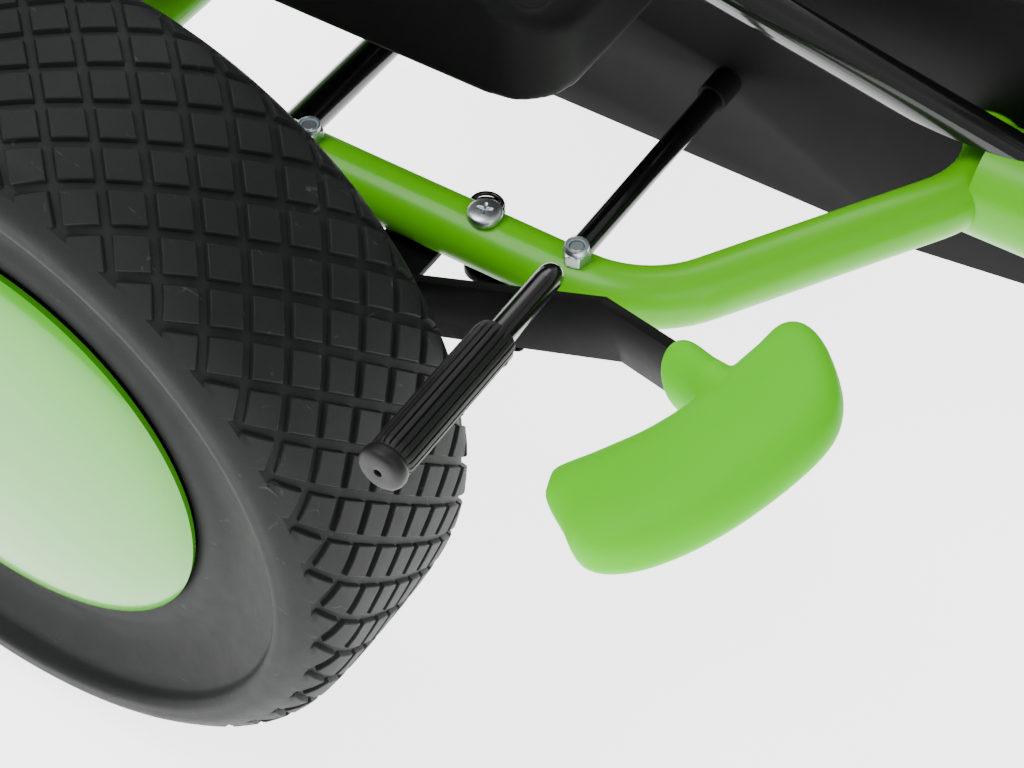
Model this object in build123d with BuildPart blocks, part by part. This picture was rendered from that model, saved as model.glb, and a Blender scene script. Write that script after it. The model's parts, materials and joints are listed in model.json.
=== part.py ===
from build123d import *
import math
import os

# ---------------------------------------------------------------- dimensions
# Millimetres.  +Z up, the kart faces -Y, +X is the driver's left.  "ahead" numbers are
# distances in front of the rear axle, so Y = -ahead.

AXLE_Z = 165.0            # rear wheel centre above the floor
REAR_R = 165.0            # rear tyre radius
REAR_FACE_X = 295.0       # outer face ring of the rear tyres
WHEEL_W = 107.6           # width of a rear wheel
FRONT_R = 145.0           # front tyre radius
FRONT_AHEAD = 740.0       # front axle ahead of the rear axle
FRONT_FACE_X = 287.0      # outer face ring of the front tyres

RAIL_X = 135.0            # side rail centre line
RAIL_Z = 208.2
RAIL_R = 12.2
RAIL_WALL = 2.0
CROSS_R = 11.5            # rear cross tube
RAIL_CORNER = 198.0       # where the straight rail turns inward
RAIL_APEX = 283.0         # where both sides meet on the centre line
RAIL_REAR = -80.0
BEND_R = 50.0

AXLE_R = 8.0
BUSH_GAP = 0.05           # running clearance of pins in bushes
BRACKET_BOLT = 46.0       # axle bracket bolts ahead of and behind the axle

SPINE_R = 19.0
SOCKET_END = 340.0
CLAMP_AHEAD = 330.0

SHAFT_AHEAD = 148.0       # brake shaft
SHAFT_Z = 181.0
SHAFT_R = 5.0
PAD_AHEAD = 187.0         # rubber sleeve of the brake
PAD_Z = 263.0
CRANK_X = -179.0
SCREW_AHEAD = 128.0       # bolts of the brake saddle
NUT_AHEAD = 169.0

BAR_X = -169.0            # flat lever bar
BAR_T = 4.0
BAR_W = 27.0
PIVOT_AHEAD = 80.0
PIVOT_Z = 180.8
BAR_PITCH = 22.7          # bar rises towards the front
BAR_BEND = 23.7           # then turns outward
LINK_AHEAD = 146.5       # upper pin of the brake link, on the lever bar
LINK_TOP_Z = 211.5
ARM_AHEAD = 160.0        # lower pin, on the arm of the brake shaft
ARM_PIN_Z = 198.0

CHAIN_X = 35.0
CRANK_AHEAD = 520.0
CRANK_Z = 245.0
CRANK_LEN = 95.0
REAR_PITCH = 26.0
FRONT_PITCH = 56.0

COLUMN_TILT = 50.0        # steering column from the vertical
COLUMN_FOOT = (0.0, -752.0, 255.0)
COLUMN_LEN = 460.0
PITMAN = 34.0
KINGPIN_X = 158.0
KNUCKLE_ARM = 45.0
ARM_Z = 233.5

SEAT_Z = 276.5
SEAT_HALF = 130.0
SEAT_FRONT = 151.0
MIDDLE_AHEAD = 324.5      # middle of the kart's length ahead of the rear axle

os.makedirs("parts", exist_ok=True)


def save(shape, label):
    """Write one node, moved so that the kart's box is centred on the origin."""
    centred = shape.moved(Location((0, MIDDLE_AHEAD, 0)))
    centred.label = label
    export_step(centred, f"parts/{label}.step")


def place(ahead, x=0.0, z=0.0):
    return (x, -ahead, z)


# ---------------------------------------------------------------- frame
loop_points = [
    place(RAIL_REAR, -RAIL_X, RAIL_Z),
    place(RAIL_CORNER, -RAIL_X, RAIL_Z),
    place(RAIL_APEX, 0, RAIL_Z),
    place(RAIL_CORNER, RAIL_X, RAIL_Z),
    place(RAIL_REAR, RAIL_X, RAIL_Z),
]
loop_start = Plane(origin=loop_points[0], z_dir=(0, -1, 0))

with BuildPart() as rear_loop:
    with BuildLine():
        FilletPolyline(*loop_points, radius=BEND_R)
    with BuildSketch(loop_start):
        Circle(RAIL_R)
    sweep()
    # rear cross tube
    with BuildSketch(Plane(origin=place(-62, 0, RAIL_Z), z_dir=(1, 0, 0))):
        Circle(CROSS_R)
    extrude(amount=RAIL_X, both=True)
    # socket that takes the centre tube
    with BuildSketch(Plane(origin=place(276, 0, RAIL_Z), z_dir=(0, -1, 0))):
        Circle(SPINE_R + 4)
    extrude(amount=SOCKET_END - 276)
    with BuildLine():
        FilletPolyline(*loop_points, radius=BEND_R)
    with BuildSketch(loop_start):
        Circle(RAIL_R - RAIL_WALL)
    sweep(mode=Mode.SUBTRACT)
    with BuildSketch(Plane(origin=place(292, 0, RAIL_Z), z_dir=(0, -1, 0))):
        Circle(SPINE_R + 0.05)
    extrude(amount=SOCKET_END - 292, mode=Mode.SUBTRACT)
    # clamp bolt through the socket
    with Locations(place(CLAMP_AHEAD, 0, RAIL_Z)):
        Cylinder(4.1, 60, mode=Mode.SUBTRACT)
    # bolt holes of the axle brackets
    with Locations([
        place(BRACKET_BOLT, RAIL_X, RAIL_Z),
        place(-BRACKET_BOLT, RAIL_X, RAIL_Z),
        place(BRACKET_BOLT, -RAIL_X, RAIL_Z),
        place(-BRACKET_BOLT, -RAIL_X, RAIL_Z),
        place(SCREW_AHEAD, -RAIL_X, RAIL_Z),
        place(NUT_AHEAD, -RAIL_X, RAIL_Z),
    ]):
        Cylinder(3.1, 40, mode=Mode.SUBTRACT)
    with Locations(place(94, -RAIL_X, RAIL_Z - RAIL_R)):
        Cylinder(3.1, 12, mode=Mode.SUBTRACT)
save(rear_loop.part, "rear_loop")

with BuildPart() as rail_plugs:
    for side in (-1, 1):
        with BuildSketch(Plane(origin=place(RAIL_REAR, side * RAIL_X, RAIL_Z), z_dir=(0, -1, 0))):
            Circle(RAIL_R - RAIL_WALL - 0.05)
        extrude(amount=9)
        with BuildSketch(Plane(origin=place(RAIL_REAR - 0.02, side * RAIL_X, RAIL_Z), z_dir=(0, 1, 0))):
            Circle(RAIL_R)
        extrude(amount=4)
        with BuildSketch(Plane(origin=place(RAIL_REAR + 5, side * RAIL_X, RAIL_Z), z_dir=(0, 1, 0))):
            Circle(RAIL_R - RAIL_WALL - 0.05)
        extrude(amount=6)
save(rail_plugs.part, "rail_plugs")

BEAM_Z = 195.0
column_dir = (0, math.sin(math.radians(COLUMN_TILT)), math.cos(math.radians(COLUMN_TILT)))


def on_column(distance):
    return tuple(p + distance * d for p, d in zip(COLUMN_FOOT, column_dir))


SPINE_START = 294.0
SPINE_END = FRONT_AHEAD + 12
with BuildPart() as front_frame:
    with BuildSketch(Plane(origin=place(SPINE_START, 0, RAIL_Z), z_dir=(0, -1, 0))):
        Circle(SPINE_R)
    extrude(amount=SPINE_END - SPINE_START)
    # front beam and kingpin sleeves
    with BuildSketch(Plane(origin=place(FRONT_AHEAD, 0, BEAM_Z), z_dir=(1, 0, 0))):
        Circle(16)
    extrude(amount=KINGPIN_X - 4, both=True)
    with Locations([place(FRONT_AHEAD, s * KINGPIN_X, BEAM_Z) for s in (-1, 1)]):
        Cylinder(12, 60)
    # saddle block and shell for the pedal crank
    with Locations(place(CRANK_AHEAD, -3, 229)):
        Box(34, 36, 22)
    with Locations(Location(place(CRANK_AHEAD, -4, CRANK_Z), (0, 90, 0))):
        Cylinder(17, 50)
    # steering post with the upper sleeve
    post_top = on_column(190)
    with BuildSketch(Plane.XY.offset(RAIL_Z + 10)):
        with Locations((post_top[0], post_top[1])):
            Circle(12)
    extrude(amount=post_top[2] - RAIL_Z - 10)
    with BuildSketch(Plane(origin=on_column(172), z_dir=column_dir)):
        Circle(15)
    extrude(amount=36)
    # lower sleeve on a gusset
    with BuildSketch(Plane(origin=on_column(18), z_dir=column_dir)):
        Circle(14)
    extrude(amount=24)
    foot = on_column(30)
    with Locations((0, foot[1] + 6, (foot[2] + 215) / 2)):
        Box(8, 20, foot[2] - 215)
    # arms for the front shield
    for side in (-1, 1):
        with BuildSketch(Plane(origin=place(FRONT_AHEAD, side * 70, BEAM_Z), z_dir=(0, -1, 0))):
            Circle(8)
        extrude(amount=70)
    # bores
    with BuildSketch(Plane(origin=place(SPINE_START, 0, RAIL_Z), z_dir=(0, -1, 0))):
        Circle(SPINE_R - 2.5)
    extrude(amount=SPINE_END - SPINE_START - 3, mode=Mode.SUBTRACT)
    with Locations([place(FRONT_AHEAD, s * KINGPIN_X, BEAM_Z) for s in (-1, 1)]):
        Cylinder(5 + BUSH_GAP, 80, mode=Mode.SUBTRACT)
    with Locations(Location(place(CRANK_AHEAD, -4, CRANK_Z), (0, 90, 0))):
        Cylinder(11.05, 60, mode=Mode.SUBTRACT)
    with BuildSketch(Plane(origin=on_column(0), z_dir=column_dir)):
        Circle(8 + BUSH_GAP)
    extrude(amount=230, mode=Mode.SUBTRACT)
    with Locations(place(CLAMP_AHEAD, 0, RAIL_Z)):
        Cylinder(4.1, 60, mode=Mode.SUBTRACT)
save(front_frame.part, "front_frame")


def hex_bolt(radius, length, flats, head):
    """Bolt standing on its head: head below Z=0, shank from 0 to length."""
    with BuildPart() as bolt:
        with BuildSketch(Plane.XY):
            RegularPolygon(flats / 2, 6, major_radius=False)
        extrude(amount=-head)
        with BuildSketch(Plane.XY):
            Circle(radius)
        extrude(amount=length)
        chamfer(bolt.edges().filter_by(GeomType.CIRCLE).sort_by(Axis.Z)[-1], length=0.6)
    return bolt.part


def lock_nut(hole, flats, height):
    """Nut with a rounded collar on top, sitting on Z=0."""
    with BuildPart() as nut:
        with BuildSketch(Plane.XY):
            RegularPolygon(flats / 2, 6, major_radius=False)
        extrude(amount=height * 0.68)
        with BuildSketch(Plane.XY):
            Circle(flats / 2 * 0.95)
        extrude(amount=height)
        fillet(nut.faces().sort_by(Axis.Z)[-1].edges(), radius=height * 0.18)
        with BuildSketch(Plane.XY):
            Circle(hole)
        extrude(amount=height, mode=Mode.SUBTRACT)
    return nut.part


# socket clamp bolt with its nut
with BuildPart() as socket_bolt:
    add(hex_bolt(4.0, 56, 13, 5).moved(Location(place(CLAMP_AHEAD, 0, RAIL_Z - SPINE_R - 4.1))))
    add(lock_nut(4.0, 13, 8).moved(Location(place(CLAMP_AHEAD, 0, RAIL_Z + SPINE_R + 4.1))))
save(socket_bolt.part, "socket_bolt")

# ---------------------------------------------------------------- axle brackets
PLATE_TOP = RAIL_Z - RAIL_R - 0.1


def axle_bracket(side):
    x = side * RAIL_X
    with BuildPart() as bracket:
        with BuildSketch(Plane.XY.offset(PLATE_TOP - 3)):
            with Locations((x, 0)):
                RectangleRounded(34, 122, 8)
        extrude(amount=3)
        for offset in (-13, 13):
            with BuildSketch(Plane(origin=(x + offset, 0, 0), x_dir=(0, 1, 0), z_dir=(1, 0, 0))):
                Polygon((-42, PLATE_TOP - 2), (42, PLATE_TOP - 2), (16, AXLE_Z - 8), (-16, AXLE_Z - 8),
                        align=None)
                with Locations((0, AXLE_Z)):
                    Circle(18)
            extrude(amount=1.5, both=True)
        with Locations(Location((x, 0, AXLE_Z), (0, 90, 0))):
            Cylinder(12.05, 60, mode=Mode.SUBTRACT)
        with Locations([(x, BRACKET_BOLT, PLATE_TOP), (x, -BRACKET_BOLT, PLATE_TOP)]):
            Cylinder(3.1, 20, mode=Mode.SUBTRACT)
    return bracket.part


save(axle_bracket(-1), "axle_bracket_right")
save(axle_bracket(1), "axle_bracket_left")

with BuildPart() as axle_bushes:
    for side in (-1, 1):
        with Locations(Location((side * RAIL_X, 0, AXLE_Z), (0, 90, 0))):
            Cylinder(12, 32)
        with Locations(Location((side * (RAIL_X + 17), 0, AXLE_Z), (0, 90, 0))):
            Cylinder(15, 4)
    with Locations(Location((0, 0, AXLE_Z), (0, 90, 0))):
        Cylinder(AXLE_R + BUSH_GAP, 400, mode=Mode.SUBTRACT)
save(axle_bushes.part, "axle_bushes")

# frame bolts come up from below, lock nuts sit on top of the rails
RAIL_TOP = RAIL_Z + RAIL_R
nut_seats = [
    (-RAIL_X, -BRACKET_BOLT),
    (-RAIL_X, BRACKET_BOLT),
    (RAIL_X, -BRACKET_BOLT),
    (RAIL_X, BRACKET_BOLT),
    (-RAIL_X, -NUT_AHEAD),
]
bolt_seats = {seat: PLATE_TOP - 3.05 for seat in nut_seats}
bolt_seats[(-RAIL_X, -NUT_AHEAD)] = PLATE_TOP - 4.05
with BuildPart() as lock_nuts:
    for x, y in nut_seats:
        turn = 12 if y == -NUT_AHEAD else 25
        add(lock_nut(3.0, 10, 7.5).moved(Location((x, y, RAIL_TOP), (0, 0, turn))))
save(lock_nuts.part, "lock_nuts")
with BuildPart() as frame_bolts:
    for (x, y), seat_z in bolt_seats.items():
        add(hex_bolt(2.98, RAIL_TOP + 6.6 - seat_z, 10, 4).moved(Location((x, y, seat_z))))
save(frame_bolts.part, "frame_bolts")

# ---------------------------------------------------------------- brake saddle, screw, spring
SADDLE_MID = (SCREW_AHEAD + NUT_AHEAD) / 2
with BuildPart() as brake_saddle:
    with BuildSketch(Plane.XY.offset(PLATE_TOP - 4)):
        with Locations((-RAIL_X + 3, -SADDLE_MID - 3)):
            RectangleRounded(22, 64, 8)
    extrude(amount=4)
    with Locations((-RAIL_X, -SHAFT_AHEAD, SHAFT_Z + 6.5)):
        Box(22, 19, 10)
    with Locations(Location((-RAIL_X, -SHAFT_AHEAD, SHAFT_Z), (0, 90, 0))):
        Cylinder(9.5, 24)
    with Locations(Location((-RAIL_X, -SHAFT_AHEAD, SHAFT_Z), (0, 90, 0))):
        Cylinder(SHAFT_R + BUSH_GAP, 60, mode=Mode.SUBTRACT)
    with Locations([(-RAIL_X, -SCREW_AHEAD, PLATE_TOP), (-RAIL_X, -NUT_AHEAD, PLATE_TOP)]):
        Cylinder(3.1, 20, mode=Mode.SUBTRACT)
    # keep clear of the tube above the flat plate
    with Locations(Location((-RAIL_X, -SADDLE_MID, RAIL_Z), (90, 0, 0))):
        Cylinder(RAIL_R + 0.05, 200, mode=Mode.SUBTRACT)
save(brake_saddle.part, "brake_saddle")

with BuildPart() as saddle_screw:
    with BuildSketch(Plane.XY.offset(RAIL_TOP + 0.05)):
        with Locations((-RAIL_X, -SCREW_AHEAD)):
            Circle(6.9)
    extrude(amount=4.6)
    fillet(saddle_screw.faces().sort_by(Axis.Z)[-1].edges(), radius=1.4)
    with BuildSketch(Plane.XY.offset(RAIL_TOP + 4.65)):
        with Locations((-RAIL_X, -SCREW_AHEAD)):
            Rectangle(6, 1.3, rotation=20)
            Rectangle(1.3, 6, rotation=20)
    extrude(amount=-2, mode=Mode.SUBTRACT)
    with BuildSketch(Plane.XY.offset(PLATE_TOP - 10)):
        with Locations((-RAIL_X, -SCREW_AHEAD)):
            Circle(2.98)
    extrude(amount=RAIL_TOP + 2 - PLATE_TOP + 10)
    add(lock_nut(3.0, 10, 5).moved(Location((-RAIL_X, -SCREW_AHEAD, PLATE_TOP - 9.1))))
save(saddle_screw.part, "saddle_screw")

# clip on the inner side of the rail that holds the top turns of the spring
HOOK_X = -RAIL_X + 23.5
SPRING_AHEAD = 113.5
COIL_R = 6.3
WIRE_R = 0.95
with BuildPart() as spring_hanger:
    with Locations((HOOK_X - 8.5, -SPRING_AHEAD, 200.5)):
        Box(12, 11, 4)
    with Locations((HOOK_X, -SPRING_AHEAD, 200.5)):
        Cylinder(COIL_R + WIRE_R + 0.05, 20, mode=Mode.SUBTRACT)
    with Locations(Location((-RAIL_X, -SPRING_AHEAD, RAIL_Z), (90, 0, 0))):
        Cylinder(RAIL_R + 0.05, 60, mode=Mode.SUBTRACT)
save(spring_hanger.part, "spring_hanger")

SPRING_TOP = 202.0
SPRING_BOTTOM = 176.5
with BuildPart() as return_spring:
    with BuildLine():
        Helix(pitch=2.9, height=SPRING_TOP - SPRING_BOTTOM, radius=COIL_R,
              center=(HOOK_X, -SPRING_AHEAD, SPRING_BOTTOM))
    coil_start = (HOOK_X + COIL_R, -SPRING_AHEAD, SPRING_BOTTOM)
    with BuildSketch(Plane(origin=coil_start, z_dir=(0, 1, 0.07))):
        Circle(WIRE_R)
    sweep(is_frenet=True)
save(return_spring.part, "return_spring")

# ---------------------------------------------------------------- brake shaft
crank_path = [
    (20.0, -SHAFT_AHEAD, SHAFT_Z),
    (CRANK_X, -SHAFT_AHEAD, SHAFT_Z),
    (CRANK_X, -PAD_AHEAD, PAD_Z),
    (-REAR_FACE_X + 12, -PAD_AHEAD, PAD_Z),
]
arm_length = math.hypot(ARM_AHEAD - SHAFT_AHEAD, ARM_PIN_Z - SHAFT_Z)
arm_angle = math.degrees(math.atan2(ARM_PIN_Z - SHAFT_Z, ARM_AHEAD - SHAFT_AHEAD))
with BuildPart() as brake_shaft:
    with BuildLine():
        FilletPolyline(*crank_path, radius=9)
    with BuildSketch(Plane(origin=crank_path[0], z_dir=(-1, 0, 0))):
        Circle(SHAFT_R)
    sweep()
    # forward arm that the lever link lifts, behind the lever bar
    with BuildSketch(Plane(origin=(-158.4, 0, 0), x_dir=(0, 1, 0), z_dir=(1, 0, 0))):
        with Locations((-SHAFT_AHEAD, SHAFT_Z)):
            Circle(8)
        with Locations((-ARM_AHEAD, ARM_PIN_Z)):
            Circle(5.5)
        with Locations((-(SHAFT_AHEAD + ARM_AHEAD) / 2, (SHAFT_Z + ARM_PIN_Z) / 2)):
            Rectangle(arm_length, 10, rotation=-arm_angle)
    extrude(amount=-3.6)
    with Locations(Location((-163.2, -ARM_AHEAD, ARM_PIN_Z), (0, 90, 0))):
        Cylinder(2.5, 6.4)
    # rear arm for the return spring
    with BuildSketch(Plane(origin=(HOOK_X + 3, 0, 0), x_dir=(0, 1, 0), z_dir=(1, 0, 0))):
        with Locations((-SHAFT_AHEAD, SHAFT_Z)):
            Circle(8.5)
    extrude(amount=-6)
    with Locations((HOOK_X, -(SHAFT_AHEAD + SPRING_AHEAD) / 2 + 3, SHAFT_Z - 7.7)):
        Box(6, SHAFT_AHEAD - SPRING_AHEAD + 10, 4)
save(brake_shaft.part, "brake_shaft")

with BuildPart() as brake_sleeve:
    with BuildSketch(Plane(origin=(-217, -PAD_AHEAD, PAD_Z), z_dir=(-1, 0, 0))):
        Circle(8)
        with PolarLocations(8.1, 14):
            Circle(0.55, mode=Mode.SUBTRACT)
    extrude(amount=65)
    with BuildSketch(Plane(origin=(-282, -PAD_AHEAD, PAD_Z), z_dir=(-1, 0, 0))):
        Circle(8.4)
    extrude(amount=6.6)
    fillet(brake_sleeve.faces().sort_by(Axis.X)[0].edges(), radius=2)
    with BuildSketch(Plane(origin=(-217, -PAD_AHEAD, PAD_Z), z_dir=(-1, 0, 0))):
        Circle(SHAFT_R + 0.05)
    extrude(amount=66.5, mode=Mode.SUBTRACT)
save(brake_sleeve.part, "brake_sleeve")

# ---------------------------------------------------------------- hand lever
with BuildPart() as lever_bracket:
    with BuildSketch(Plane.XY.offset(PLATE_TOP - 3)):
        with Locations((-143, -97.5)):
            RectangleRounded(44, 25, 3)
    extrude(amount=3)
    with BuildSketch(Plane(origin=(-166.4, 0, 0), x_dir=(0, 1, 0), z_dir=(1, 0, 0))):
        Polygon((-110, PLATE_TOP), (-85, PLATE_TOP), (-68, PIVOT_Z + 3), (-70, PIVOT_Z - 10),
                (-90, PIVOT_Z - 12), (-110, PLATE_TOP - 12), align=None)
    extrude(amount=3)
    with Locations(Location((-165, -PIVOT_AHEAD, PIVOT_Z), (0, 90, 0))):
        Cylinder(4 + BUSH_GAP, 20, mode=Mode.SUBTRACT)
    with Locations((-RAIL_X, -94, PLATE_TOP)):
        Cylinder(3.1, 20, mode=Mode.SUBTRACT)
save(lever_bracket.part, "lever_bracket")

with BuildPart() as bracket_screw:
    add(hex_bolt(2.98, 14, 10, 4).moved(Location((-RAIL_X, -94, PLATE_TOP - 3.05))))
save(bracket_screw.part, "bracket_screw")

with BuildPart() as lever_pivot:
    add(hex_bolt(4.0, 14.5, 13, 5).moved(Location((-171.4, -PIVOT_AHEAD, PIVOT_Z), (0, 90, 0))))
    add(lock_nut(4.0, 13, 6).moved(Location((-163.3, -PIVOT_AHEAD, PIVOT_Z), (0, 90, 0))))
save(lever_pivot.part, "lever_pivot")

pitch = math.radians(BAR_PITCH)
turn = math.radians(BAR_BEND)
bar_fwd = Vector(0, -math.cos(pitch), math.sin(pitch))
bar_up = Vector(0, math.sin(pitch), math.cos(pitch))
bar_out = bar_fwd * math.cos(turn) + Vector(-math.sin(turn), 0, 0)
bar_side = Vector(math.cos(turn), 0, 0) + bar_fwd * math.sin(turn)
BEND_AT = 136.0
TAIL = 12.0
NECK = 46.0
pivot_point = Vector(BAR_X, -PIVOT_AHEAD, PIVOT_Z)
bend_point = pivot_point + bar_fwd * BEND_AT
neck_point = bend_point + bar_out * NECK
with BuildPart() as brake_lever:
    with BuildSketch(Plane(origin=pivot_point, x_dir=bar_fwd, z_dir=(1, 0, 0))):
        with Locations(((BEND_AT) / 2, 0)):
            Rectangle(BEND_AT, BAR_W)
        Circle(BAR_W / 2)
    extrude(amount=BAR_T / 2, both=True)
    with BuildSketch(Plane(origin=bend_point, x_dir=bar_out, z_dir=bar_side)):
        with Locations(((NECK + 22) / 2 - 0.4, 0)):
            Rectangle(NECK + 22 + 0.8, BAR_W)
    extrude(amount=BAR_T / 2, both=True)
    with Locations(Location((BAR_X, -PIVOT_AHEAD, PIVOT_Z), (0, 90, 0))):
        Cylinder(4 + BUSH_GAP, 20, mode=Mode.SUBTRACT)
    # pin of the link
    with Locations(Location((BAR_X + 3.4, -LINK_AHEAD, LINK_TOP_Z), (0, 90, 0))):
        Cylinder(2.5, 6.8)
save(brake_lever.part, "brake_lever")

link_length = math.hypot(ARM_AHEAD - LINK_AHEAD, LINK_TOP_Z - ARM_PIN_Z)
link_angle = math.degrees(math.atan2(LINK_TOP_Z - ARM_PIN_Z, ARM_AHEAD - LINK_AHEAD))
with BuildPart() as brake_link:
    with BuildSketch(Plane(origin=(-166.2, 0, 0), x_dir=(0, 1, 0), z_dir=(1, 0, 0))):
        with Locations((-LINK_AHEAD, LINK_TOP_Z), (-ARM_AHEAD, ARM_PIN_Z)):
            Circle(5.6)
        with Locations((-(LINK_AHEAD + ARM_AHEAD) / 2, (LINK_TOP_Z + ARM_PIN_Z) / 2)):
            Rectangle(link_length, 9, rotation=link_angle)
        with Locations((-LINK_AHEAD, LINK_TOP_Z)):
            Circle(2.5 + BUSH_GAP, mode=Mode.SUBTRACT)
        with Locations((-ARM_AHEAD, ARM_PIN_Z)):
            Circle(3.7, mode=Mode.SUBTRACT)
    extrude(amount=3)
save(brake_link.part, "brake_link")

# moulded T-handle: local x runs inboard, local y runs back along the bar
handle_plane = Plane(origin=neck_point, x_dir=bar_side, z_dir=bar_up)
outline = [
    (-62, -9), (-45, -15), (-27, -20), (-9, -21), (16, -19), (34, -15), (40, -22),
    (36, -38), (24, -59), (8, -70), (-20, -74), (-46, -72), (-66, -64), (-77, -50),
    (-73, -32), (-68, -14),
]
GRIP_MID = (-18.0, -43.0)


def shrunk(points, share):
    """The outline pulled towards the middle of the grip."""
    cx, cy = GRIP_MID
    return [(cx + (x - cx) * share, cy + (y - cy) * share) for x, y in points]


with BuildPart() as lever_grip:
    for height, share in ((-13, 0.74), (-9, 0.92), (0, 1.0), (9, 0.92), (13, 0.74)):
        with BuildSketch(handle_plane.offset(height)):
            with BuildLine():
                Spline(*shrunk(outline, share), periodic=True)
            make_face()
    loft()
    with BuildSketch(Plane(origin=neck_point + bar_out * 0.5, x_dir=bar_side, z_dir=bar_out)):
        Ellipse(10, 16)
    extrude(amount=26)
    with BuildSketch(Plane(origin=neck_point - bar_out * 1, x_dir=bar_out, z_dir=bar_side)):
        with Locations((12, 0)):
            Rectangle(24, BAR_W + 0.2)
    extrude(amount=BAR_T / 2 + 0.1, both=True, mode=Mode.SUBTRACT)
save(lever_grip.part, "lever_grip")

# ---------------------------------------------------------------- wheels


def wheel(tag, side, ahead, radius, face_x, width, bore):
    """Tyre, hub and cap of one wheel.  side -1 is the right side of the kart."""
    k = radius / REAR_R
    w = width / WHEEL_W
    z = radius
    profile = Plane(origin=(side * face_x, -ahead, z), x_dir=(-side, 0, 0), z_dir=(0, side, 0))
    axis = Axis((side * face_x, -ahead, z), (1, 0, 0))

    def p(t, r):
        return (t * w, r * k)

    with BuildPart() as tyre:
        with BuildSketch(profile):
            with BuildLine():
                Polyline(p(13.5, 92), p(13, 104), p(14.5, 118), p(8, 134), p(5.6, 137.3), p(0, 142.6))
                Spline(p(0, 142.6), p(0.8, 148.5), p(4.3, 154.2), p(10.5, 160.6), p(20, 163.9),
                       p(40, 165), p(67.6, 165), p(87.6, 163.9), p(97.1, 160.6), p(103.3, 154.2),
                       p(106.8, 148.5), p(107.6, 142.6))
                Polyline(p(107.6, 142.6), p(102, 137.3), p(97, 120), p(97, 92), p(13.5, 92))
            make_face()
        revolve(axis=axis)
    save(tyre.part, f"tyre_{tag}")
    with BuildPart() as hub:
        with BuildSketch(profile):
            with BuildLine():
                Polyline(p(16, 91.95), p(16, 84), p(86, 82), p(86, 26), p(26, 24), (26 * w, bore),
                         (100 * w, bore), p(100, 24), p(95, 26), p(95, 84), p(96.5, 84),
                         p(96.5, 91.95), p(16, 91.95))
            make_face()
        revolve(axis=axis)
    save(hub.part, f"hub_{tag}")
    with BuildPart() as cap:
        with BuildSketch(profile):
            with BuildLine():
                Spline(p(-3, 0), p(-1, 45), p(3.5, 80), p(9.8, 96.3), tangents=((0, 1), (0.7, 0.7)))
                Polyline(p(9.8, 96.3), p(12.4, 95.6), p(12.4, 83.8), p(20, 83.4), p(20, 80.4),
                         p(8.4, 80.4))
                Spline(p(8.4, 80.4), p(2.2, 45), p(0.2, 0))
                Line(p(0.2, 0), p(-3, 0))
            make_face()
        revolve(axis=axis)
    save(cap.part, f"cap_{tag}")


FRONT_W = 92.0
wheel("rear_right", -1, 0, REAR_R, REAR_FACE_X, WHEEL_W, AXLE_R + 0.02)
wheel("rear_left", 1, 0, REAR_R, REAR_FACE_X, WHEEL_W, AXLE_R + 0.02)
wheel("front_right", -1, FRONT_AHEAD, FRONT_R, FRONT_FACE_X, FRONT_W, 6.05)
wheel("front_left", 1, FRONT_AHEAD, FRONT_R, FRONT_FACE_X, FRONT_W, 6.05)

with BuildPart() as rear_axle:
    with Locations(Location((0, 0, AXLE_Z), (0, 90, 0))):
        Cylinder(AXLE_R, 2 * (REAR_FACE_X - 13))
    # collars beside the brackets
    for side in (-1, 1):
        with Locations(Location((side * (RAIL_X - 21), 0, AXLE_Z), (0, 90, 0))):
            Cylinder(12, 8)
save(rear_axle.part, "rear_axle")

with BuildPart() as axle_nuts:
    for side in (-1, 1):
        seat = Location((side * (REAR_FACE_X - 25.9), 0, AXLE_Z), (0, side * 90, 0))
        add(lock_nut(AXLE_R + 0.02, 24, 11).moved(seat))
save(axle_nuts.part, "axle_nuts")


def sprocket(pitch_radius, teeth, bore, ahead, z, spokes):
    """Toothed disc in the chain line."""
    with BuildPart() as disc:
        with BuildSketch(Plane(origin=(CHAIN_X - 1.25, -ahead, z), x_dir=(0, 1, 0), z_dir=(1, 0, 0))):
            Circle(pitch_radius + 1.6)
            with PolarLocations(pitch_radius + 2.2, teeth):
                Circle(pitch_radius * math.pi / teeth * 0.62, mode=Mode.SUBTRACT)
            if spokes:
                with PolarLocations(pitch_radius * 0.62, spokes, start_angle=36):
                    Circle(pitch_radius * 0.17, mode=Mode.SUBTRACT)
            Circle(bore, mode=Mode.SUBTRACT)
        extrude(amount=2.5)
        with BuildSketch(Plane(origin=(CHAIN_X - 6, -ahead, z), x_dir=(0, 1, 0), z_dir=(1, 0, 0))):
            Circle(bore + 6)
            Circle(bore, mode=Mode.SUBTRACT)
        extrude(amount=12)
    return disc.part


save(sprocket(REAR_PITCH, 13, AXLE_R + 0.02, 0, AXLE_Z, 0), "rear_sprocket")
save(sprocket(FRONT_PITCH, 28, 8.02, CRANK_AHEAD, CRANK_Z, 5), "front_sprocket")


def belt_outline(rear_r, front_r):
    """Closed loop around two circles in the side view, drawn with local x = -ahead."""
    dx = CRANK_AHEAD
    dz = CRANK_Z - AXLE_Z
    gap = math.hypot(dx, dz)
    lean = math.atan2(dz, dx)
    open_angle = math.acos((rear_r - front_r) / gap)
    corners = []
    for sign in (1, -1):
        a = lean + sign * open_angle
        rear = (-rear_r * math.cos(a), AXLE_Z + rear_r * math.sin(a))
        front = (-dx - front_r * math.cos(a), CRANK_Z + front_r * math.sin(a))
        corners.append((rear, front))
    return corners


def loop_face(rear_r, front_r):
    (rear_top, front_top), (rear_low, front_low) = belt_outline(rear_r, front_r)
    lean = math.atan2(CRANK_Z - AXLE_Z, CRANK_AHEAD)
    back = (rear_r * math.cos(lean), AXLE_Z - rear_r * math.sin(lean))
    nose = (-CRANK_AHEAD - front_r * math.cos(lean), CRANK_Z + front_r * math.sin(lean))
    Line(rear_top, front_top)
    ThreePointArc(front_top, nose, front_low)
    Line(front_low, rear_low)
    ThreePointArc(rear_low, back, rear_top)


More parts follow.
